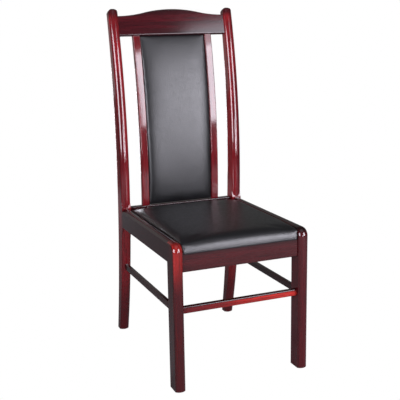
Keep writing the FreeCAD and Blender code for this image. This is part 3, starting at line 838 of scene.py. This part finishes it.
def swollen(name, shape, held, keep_clear, cap, shrink):
    """Leather over foam: a start shape, meshed evenly, blown up by a cap at most, and smoothed."""
    piece = make_piece(name, *shape, leather)
    remesh = piece.modifiers.new("even_mesh", "REMESH")
    remesh.mode = "VOXEL"
    remesh.voxel_size = PAD_VOXEL * MM
    even = evaluated_mesh(piece)
    piece.modifiers.clear()
    piece.data = even
    rest = [v.co.copy() for v in even.vertices]
    fixed = [v.index for v in even.vertices if held(v.co / MM)]
    moved = blown_up(piece, fixed, shrink)
    limit = cap * MM
    for vertex, start, end in zip(even.vertices, rest, moved):
        shift = end - start
        if shift.length > 1e-9:
            shift = shift * (limit * tanh(shift.length / limit) / shift.length)
        vertex.co = Vector(keep_clear(*((start + shift) / MM))) * MM
    smoother = bmesh.new()
    smoother.from_mesh(even)
    free = set(range(len(rest))) - set(fixed)
    everywhere = list(smoother.verts)
    loose = [v for v in smoother.verts if v.index in free]
    for eased in [everywhere] * SMOOTH_ALL + [loose] * SMOOTH_LOOSE:
        bmesh.ops.smooth_vert(smoother, verts=eased, factor=0.5,
                              use_axis_x=True, use_axis_y=True, use_axis_z=True)
    for vertex in smoother.verts:
        vertex.co = Vector(keep_clear(*(vertex.co / MM))) * MM
    smoother.to_mesh(even)
    smoother.free()
    even.materials.clear()
    even.materials.append(leather)
    even.shade_smooth()
    finer = piece.modifiers.new("finer", "SUBSURF")
    finer.levels = finer.render_levels = 1
    return piece


RAIL_TOP_GAP = 0.3
REAR_GAP, BASE_GAP, EDGE_MARGIN = 0.5, 0.1, 0.5
CREST_TUCK = 0.5  # how far the back pad may reach up behind the crest's bottom line
SEARCH_STEP = 0.5
ROLL_REACH = 1.5  # how far the roll may swell forward
LIP_DROP = 3.0  # how far the leather may reach down in front of the front rail
NOSE_MARGIN = 2.0


def clear_of_rails(x, y, z):
    """Keeps a point of the seat pad between the rails and above their rounded tops."""
    y = min(max(y, ROLL_FRONT_Y - ROLL_REACH), rear_rail_y - REAR_GAP)
    lip = y < FRONT_RAIL_Y - PAD_GAP
    z = max(z, FRONT_RAIL_TOP - LIP_DROP if lip else FRONT_RAIL_TOP + BASE_GAP)
    side = 1 if x > 0 else -1
    limit = INNER_X - PAD_GAP
    if abs(x) > PAD_SIDE + EDGE_MARGIN and z < rail_surface(x) + RAIL_TOP_GAP:
        reach = limit
        while reach + SEARCH_STEP < abs(x) and rail_surface(reach + SEARCH_STEP) + RAIL_TOP_GAP < z:
            reach += SEARCH_STEP
        x = side * min(abs(x), reach)
    if y < LEG_FRONT_Y + NOSE_RADIUS - NOSE_MARGIN and z < SEAT_RAIL_TOP:
        x = side * min(abs(x), limit)
    return x, y, z


def depth_on_bow(y, z):
    """How far a point lies behind the posts' corner line."""
    return corner_radius - hypot(bow_y - y, z - POST_WAIST_Z)


def clear_of_slats(x, y, z):
    """Keeps a point of the back pad between the slats, the rear rail and the crest."""
    reach = SLAT_X - SLAT_WIDTH / 2 - PAD_GAP
    depth = depth_on_bow(y, z)
    if depth > SLAT_SETBACK + EDGE_MARGIN:
        x = max(-reach, min(reach, x))
    lowest = back_low + PAD_GAP / corner_radius
    highest = back_high + CREST_TUCK / corner_radius
    angle = max(lowest, min(highest, atan2(z - POST_WAIST_Z, bow_y - y)))
    return on_bow(x, min(depth, BACK_BOARD_REAR + PAD_GAP), angle)


SEAT_HELD_Z, SEAT_HELD_X, SEAT_HELD_SIDE_Z = 424.5, 183.0, 448.0
BACK_HELD_DEPTH = SLAT_SETBACK + 2.0


def held_in_seat(point):
    """The seat pad's underside and its sides between the rails stay in place."""
    beside = abs(point.x) > SEAT_HELD_X and point.z < SEAT_HELD_SIDE_Z
    return beside or point.z < SEAT_HELD_Z


def held_in_back(point):
    """The back pad stays in place behind its rim."""
    return depth_on_bow(point.y, point.z) > BACK_HELD_DEPTH


seat = swollen("seat_upholstery", seat_start_shape(), held_in_seat, clear_of_rails,
               cap=4.5, shrink=0.0)
stand_for(seat, "black_leather", "seat_cover", "seat_foam")
back = swollen("back_upholstery", back_start_shape(), held_in_back, clear_of_slats,
               cap=3.5, shrink=0.04)
stand_for(back, "black_leather", "back_cover", "back_foam", "back_board")


# Leather-covered panel that closes the back from behind

PANEL_HALF = 108.0
PANEL_EDGE = 1.2
PANEL_THICKNESS = 2.6
PANEL_CROWN = 0.9
PANEL_MARGIN = 8.5
PANEL_FLAT_MARGIN = 4.0
PANEL_FRONT = BACK_BOARD_REAR + 0.05


def rear_panel():
    """A thin, slightly crowned panel along the bow, with rounded edges."""
    low = back_low + PANEL_MARGIN / corner_radius
    high = back_high - PANEL_MARGIN / corner_radius
    corner_x, flat_x = PANEL_HALF - PANEL_EDGE, PANEL_HALF - PANEL_FLAT_MARGIN
    rings = []
    for share in [0.0, 0.001, 0.003, 0.006] + spread(0.02, 0.98, 31) + [0.994, 0.997, 0.999, 1.0]:
        angle = low + (high - low) * share
        end = min(share, 1 - share) * (high - low) * corner_radius
        inset = PANEL_EDGE * (1 - sqrt(1 - (1 - min(1.0, end / PANEL_EDGE)) ** 2))
        crown = PANEL_CROWN * (1 - (2 * share - 1) ** 8)
        rear = BACK_BOARD_REAR + PANEL_THICKNESS - inset
        outline = [(x, PANEL_FRONT) for x in spread(-PANEL_HALF, PANEL_HALF, 9)]
        outline += eased_corner((corner_x, rear - PANEL_EDGE), PANEL_EDGE, 0, 90, 5)
        outline += [(x, rear + crown * (1 - (x / PANEL_HALF) ** 8))
                    for x in spread(flat_x, -flat_x, 21)]
        outline += eased_corner((-corner_x, rear - PANEL_EDGE), PANEL_EDGE, 90, 180, 5)
        rings.append([on_bow(x, depth, angle) for x, depth in outline])
    return loft(rings)


panel = make_piece("back_closing_panel", *rear_panel(), leather, PANEL_SHARP_DEGREES)
stand_for(panel, "black_leather", "back_rear_panel")


# Underside: dust cloth, staples, screws and glides

DUST_INSET = 22.0
DUST_CORNER = 68.0
DUST_STEP = 9.0
DUST_DROP = 0.8  # below the seat board's underside
DUST_SAG = 3.0
DUST_PUCKER = 0.35
DUST_SHARES = (1.0, 0.97, 0.93, 0.86, 0.76, 0.64, 0.5, 0.35, 0.2, 0.08)
PUCKER_SHARE, PUCKER_WIDTH = 0.93, 0.05  # puckers lie along the staples
dust_x = INNER_X - DUST_INSET
dust_front, dust_rear = FRONT_RAIL_BACK_Y + DUST_INSET, rear_rail_y - DUST_INSET
dust_outline = []
for x, y, into in (
        (-1, dust_front, 1), (1, dust_front, 1), (1, dust_rear, -1), (-1, dust_rear, -1)):
    cut = [(x * dust_x, y + into * DUST_CORNER), (x * (dust_x - DUST_CORNER), y)]
    dust_outline += cut if x * into < 0 else cut[::-1]


def along_outline(corners, step):
    """Points along a closed outline at about even steps, its corners among them."""
    points = []
    for (x0, y0), (x1, y1) in zip(corners, corners[1:] + corners[:1]):
        count = max(1, round(hypot(x1 - x0, y1 - y0) / step))
        points += [(x0 + (x1 - x0) * i / count, y0 + (y1 - y0) * i / count) for i in range(count)]
    return points


def dust_sheet():
    """Thin cloth stapled under the seat board, hanging a little between its edges."""
    outer = along_outline(dust_outline, DUST_STEP)
    middle_y = (dust_front + dust_rear) / 2
    rings = []
    for share in DUST_SHARES:
        sag = DUST_SAG * (1 - share ** 3)
        pucker = DUST_PUCKER * exp(-((share - PUCKER_SHARE) / PUCKER_WIDTH) ** 2)
        rings.append([(x * share, middle_y + (y - middle_y) * share,
                       FRONT_RAIL_TOP - DUST_DROP - sag - pucker * (1 + sin(i * pi / 2)))
                      for i, (x, y) in enumerate(outer)])
    return loft(rings, open_start=True)


cloth_piece = make_piece("dust_cloth", *dust_sheet(), dust_cloth)
stand_for(cloth_piece, "dust_cloth", "seat_dust_cover")


def staple_tree():
    """Sets wire staples along an outline, a little out of line with it."""
    tree, given = new_shape_tree("staple_row", {
        "Outline": "Geometry", "Spacing": "Float", "Crown": "Float", "Wire": "Float",
        "Stray": "Float", "Finish": "Material"})

    def times(value, factor):
        return add(tree, "ShaderNodeMath", {1: factor}, {0: value}, operation="MULTIPLY").outputs[0]

    def vector(**parts):
        return add(tree, "ShaderNodeCombineXYZ", links=parts).outputs[0]

    row = add(tree, "GeometryNodeMeshToCurve", links={"Mesh": given["Outline"]})
    places = add(tree, "GeometryNodeCurveToPoints", mode="LENGTH", links={
        "Curve": row.outputs["Curve"], "Length": given["Spacing"]}).outputs
    left, right = times(given["Crown"], -0.5), times(given["Crown"], 0.5)
    bend = times(given["Wire"], -1.6)
    staple = add(tree, "GeometryNodeCurvePrimitiveBezierSegment", {"Resolution": 8}, {
        "Start": vector(X=left), "Start Handle": vector(X=left, Z=bend),
        "End Handle": vector(X=right, Z=bend), "End": vector(X=right)})
    wire = add(tree, "GeometryNodeCurvePrimitiveCircle", {"Resolution": 6},
               {"Radius": given["Wire"]})
    bent = add(tree, "GeometryNodeCurveToMesh", {"Fill Caps": True},
               {"Curve": staple.outputs["Curve"], "Profile Curve": wire.outputs["Curve"]})
    stray = add(tree, "FunctionNodeRandomValue", {"Seed": 4},
                {2: times(given["Stray"], -1.0), 3: given["Stray"]}, data_type="FLOAT")
    turn = add(tree, "FunctionNodeAlignEulerToVector", links={"Vector": places["Tangent"]},
               axis="X", pivot_axis="Z")
    turned = add(tree, "FunctionNodeRotateEuler", space="LOCAL", links={
        "Rotation": turn.outputs["Rotation"], "Rotate By": vector(Z=stray.outputs[1])})
    staples_set = add(tree, "GeometryNodeInstanceOnPoints", links={
        "Points": places["Points"], "Instance": bent.outputs["Mesh"],
        "Rotation": turned.outputs["Rotation"]})
    finish_shape(tree, staples_set.outputs["Instances"], given["Finish"])
    return tree


def outline_mesh(name, points):
    """A closed line of edges through points."""
    edges = [(i, (i + 1) % len(points)) for i in range(len(points))]
    mesh = bpy.data.meshes.new(name)
    mesh.from_pydata([Vector(p) * MM for p in points], edges, [])
    return mesh


STAPLE_Z = FRONT_RAIL_TOP - 0.9
STAPLE_INSET_X, STAPLE_INSET_Y = 0.965, 0.972
STAPLE_STEP = 8.0
staple_line = [(x * STAPLE_INSET_X, y * STAPLE_INSET_Y, STAPLE_Z)
               for x, y in along_outline(dust_outline, STAPLE_STEP)]
staples = from_tree("seat_staples", staple_tree(), {
    "Spacing": 32.0 * MM, "Crown": 10.0 * MM, "Wire": 0.45 * MM, "Stray": 0.22, "Finish": zinc},
    outline_mesh("staple_line", staple_line))
stand_for(staples, "zinc_steel")


def lathe(profile, segments, centre):
    """A turned shape about a vertical line, from its radius and height at each step."""
    turns = [2 * pi * i / segments for i in range(segments)]
    return loft([[(centre[0] + radius * cos(turn), centre[1] + radius * sin(turn), z)
                  for turn in turns] for radius, z in profile])


GLIDE_SEGMENTS = 40
GLIDE_SETBACK = 26.0
glide_profile = [(7.0, 0.0), (9.4, 0.0)] + eased_corner((9.6, 1.4), 1.4, -80, 0, 7) + [
    (11.0, 2.6), (10.8, 2.9), (10.4, FOOT_Z)]
front_glide_y = LEG_FRONT_Y + GLIDE_SETBACK
rear_glide_y = (crown_y(FOOT_Z) + HALF_DEPTH) / 2
for side, word in SIDES:
    for end, y in (("front", front_glide_y), ("rear", rear_glide_y)):
        shape = lathe(glide_profile, GLIDE_SEGMENTS, (side * LEG_X, y))
        piece = make_piece("glide_%s_%s" % (end, word), *shape, nylon)
        stand_for(piece, "nylon", "foot_glide_%s_%s" % (end, word))

HEAD_SEGMENTS, HEAD_RADIUS, HEAD_HEIGHT = 48, 4.6, 2.5
RECESS_HALF, RECESS_REACH, RECESS_DEPTH, RECESS_END = 0.62, 2.5, 1.5, 3.2
SCREW_INSET = 17.0
BLOCK_HEIGHT = 24.0


def pan_head(centre, seat_z):
    """A pan head seen from below, with a cross recess for its driver."""
    rings = []
    for r in spread(0.0, HEAD_RADIUS, 15)[1:]:
        dome = HEAD_HEIGHT * sqrt(max(0.0, 1 - (r / HEAD_RADIUS) ** 4))
        ring = []
        for i in range(HEAD_SEGMENTS):
            a = 2 * pi * i / HEAD_SEGMENTS
            x, y = r * cos(a), r * sin(a)
            narrow, wide = sorted((abs(x), abs(y)))
            recessed = narrow < RECESS_HALF and wide < RECESS_REACH
            depth = RECESS_DEPTH * (1 - r / RECESS_END) if recessed else 0.0
            ring.append((centre[0] + x, centre[1] + y, seat_z - dome + depth))
        rings.append(ring)
    return loft(rings)


head_points, head_faces = [], []
for side in (-1, 1):
    for y in (FRONT_RAIL_BACK_Y + SCREW_INSET, rear_rail_y - SCREW_INSET):
        points, faces = pan_head((side * (INNER_X - SCREW_INSET), y), FRONT_RAIL_TOP - BLOCK_HEIGHT)
        head_faces += [tuple(i + len(head_points) for i in f) for f in faces]
        head_points += points
heads = make_piece("seat_screw_heads", head_points, head_faces, zinc)
stand_for(heads, "zinc_steel", "seat_screws")

# The blocks and the seat board show as their CAD meshes, in raw wood.
for node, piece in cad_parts.items():
    if node.startswith("corner_block") or node == "seat_board":
        piece.data.materials.clear()
        piece.data.materials.append(plywood_face if node == "seat_board" else beech_block)


# Camera, floor and light

CAMERA_PLACE = (-0.97864, -2.33693, 1.07269)
FOCAL_LENGTH, SENSOR_WIDTH = 72.287, 36.0  # in millimetres
AZIMUTH, ELEVATION, ROLL = (radians(a) for a in (-22.44, 12.63, -1.01))
backward = Vector((sin(AZIMUTH) * cos(ELEVATION),
                   -cos(AZIMUTH) * cos(ELEVATION), sin(ELEVATION)))
level_right = (-backward).cross(Vector((0, 0, 1))).normalized()
level_up = level_right.cross(-backward)
right = level_right * cos(ROLL) + level_up * sin(ROLL)
upward = level_up * cos(ROLL) - level_right * sin(ROLL)
lens = bpy.data.cameras.new("photo_camera")
lens.lens = FOCAL_LENGTH
lens.sensor_width = SENSOR_WIDTH
camera = new_object("photo_camera", lens)
camera.matrix_world = Matrix((right, upward, backward)).transposed().to_4x4()
camera.location = CAMERA_PLACE
stage_scene.camera = camera

FLOOR_REACH = 9.0
floor_corners = ((-1, -1), (1, -1), (1, 1), (-1, 1))
floor_mesh = bpy.data.meshes.new("studio_floor")
floor_mesh.from_pydata([(x * FLOOR_REACH, y * FLOOR_REACH, 0.0) for x, y in floor_corners], [],
                       [(0, 1, 2, 3)])
floor = new_object("studio_floor", floor_mesh)


def white_to_camera(tree, output, seen, felt):
    """Shows one shader to the camera, and gives the chair's light and reflections another."""
    path = add(tree, "ShaderNodeLightPath").outputs["Is Camera Ray"]
    either = add(tree, "ShaderNodeMixShader", links={0: path, 1: felt, 2: seen})
    add(tree, output, links={"Surface": either.outputs["Shader"]})


WHITE = {"Color": colour("FFFFFF"), "Strength": 1.0}
paper = bpy.data.materials.new("paper_white_matte")
tree = emptied_tree(paper)
paper_light = add(tree, "ShaderNodeEmission", WHITE).outputs[0]
paper_matte = add(tree, "ShaderNodeBsdfDiffuse", {"Color": colour("8C8C8C")}).outputs[0]
# From below, the paper lets the underside of the chair show.
one_sided = add(tree, "ShaderNodeMixShader", links={
    0: add(tree, "ShaderNodeNewGeometry").outputs["Backfacing"], 1: paper_light,
    2: add(tree, "ShaderNodeBsdfTransparent").outputs[0]}).outputs[0]
white_to_camera(tree, "ShaderNodeOutputMaterial", one_sided, paper_matte)
floor_mesh.materials.append(paper)

LIGHT_TINT = colour("F6F4FF")[:3]
# Each softbox has a place, a target, a width and a height in metres, and a power in watts. The two
# low ones leave a gap between them, so that they light the back pad but don't show in the slats.
for name, place, target, width, height, power in (
        ("softbox_right", (1.5, -2.598, 1.385), (0.0, 0.0, 0.9), 1.42, 1.26, 93.0),
        ("softbox_upper", (1.63, -2.523, 2.2), (0.0, 0.0, 1.06), 0.7, 0.4, 5.5),
        ("softbox_low_right", (1.693, -2.51, 0.51), (0.0, 0.0, 0.7), 0.3, 0.52, 20.0),
        ("softbox_low_left", (0.447, -2.994, 0.51), (0.0, 0.0, 0.7), 0.3, 0.52, 28.0),
        ("softbox_left", (-2.298, -1.928, 1.23), (0.0, 0.0, 0.9), 1.15, 1.77, 110.0),
        ("softbox_overhead", (0.2, -1.4, 2.9), (0.0, -0.2, 0.5), 2.5, 2.0, 10.0),
        ("softbox_rear", (0.0, 2.8, 0.42), (0.0, 0.2, 0.6), 1.2, 0.7, 36.0)):
    light = bpy.data.lights.new(name, "AREA")
    light.shape = "RECTANGLE"
    light.size, light.size_y = width, height
    light.energy = power
    light.color = LIGHT_TINT
    lamp = new_object(name, light)
    lamp.location = place
    lamp.visible_camera = False
    lamp.rotation_euler = (Vector(target) - Vector(place)).to_track_quat("-Z", "Y").to_euler()

# The room is dim but for a brighter wall behind the chair, to the left.
WALL_DIRECTION = (-0.38, 0.92, 0.0)
world = bpy.data.worlds.new("studio_white")
stage_scene.world = world
tree = emptied_tree(world)
toward = add(tree, "ShaderNodeVectorMath", {1: WALL_DIRECTION},
             {0: add(tree, "ShaderNodeTexCoord").outputs["Generated"]}, operation="DOT_PRODUCT")
room = ramp(tree, toward.outputs["Value"], 0.5, 0.95, 0.1, 0.36)
white_to_camera(tree, "ShaderNodeOutputWorld", add(tree, "ShaderNodeBackground", WHITE).outputs[0],
                add(tree, "ShaderNodeBackground", WHITE, {"Strength": room}).outputs[0])
stage_scene.view_settings.view_transform = "Standard"
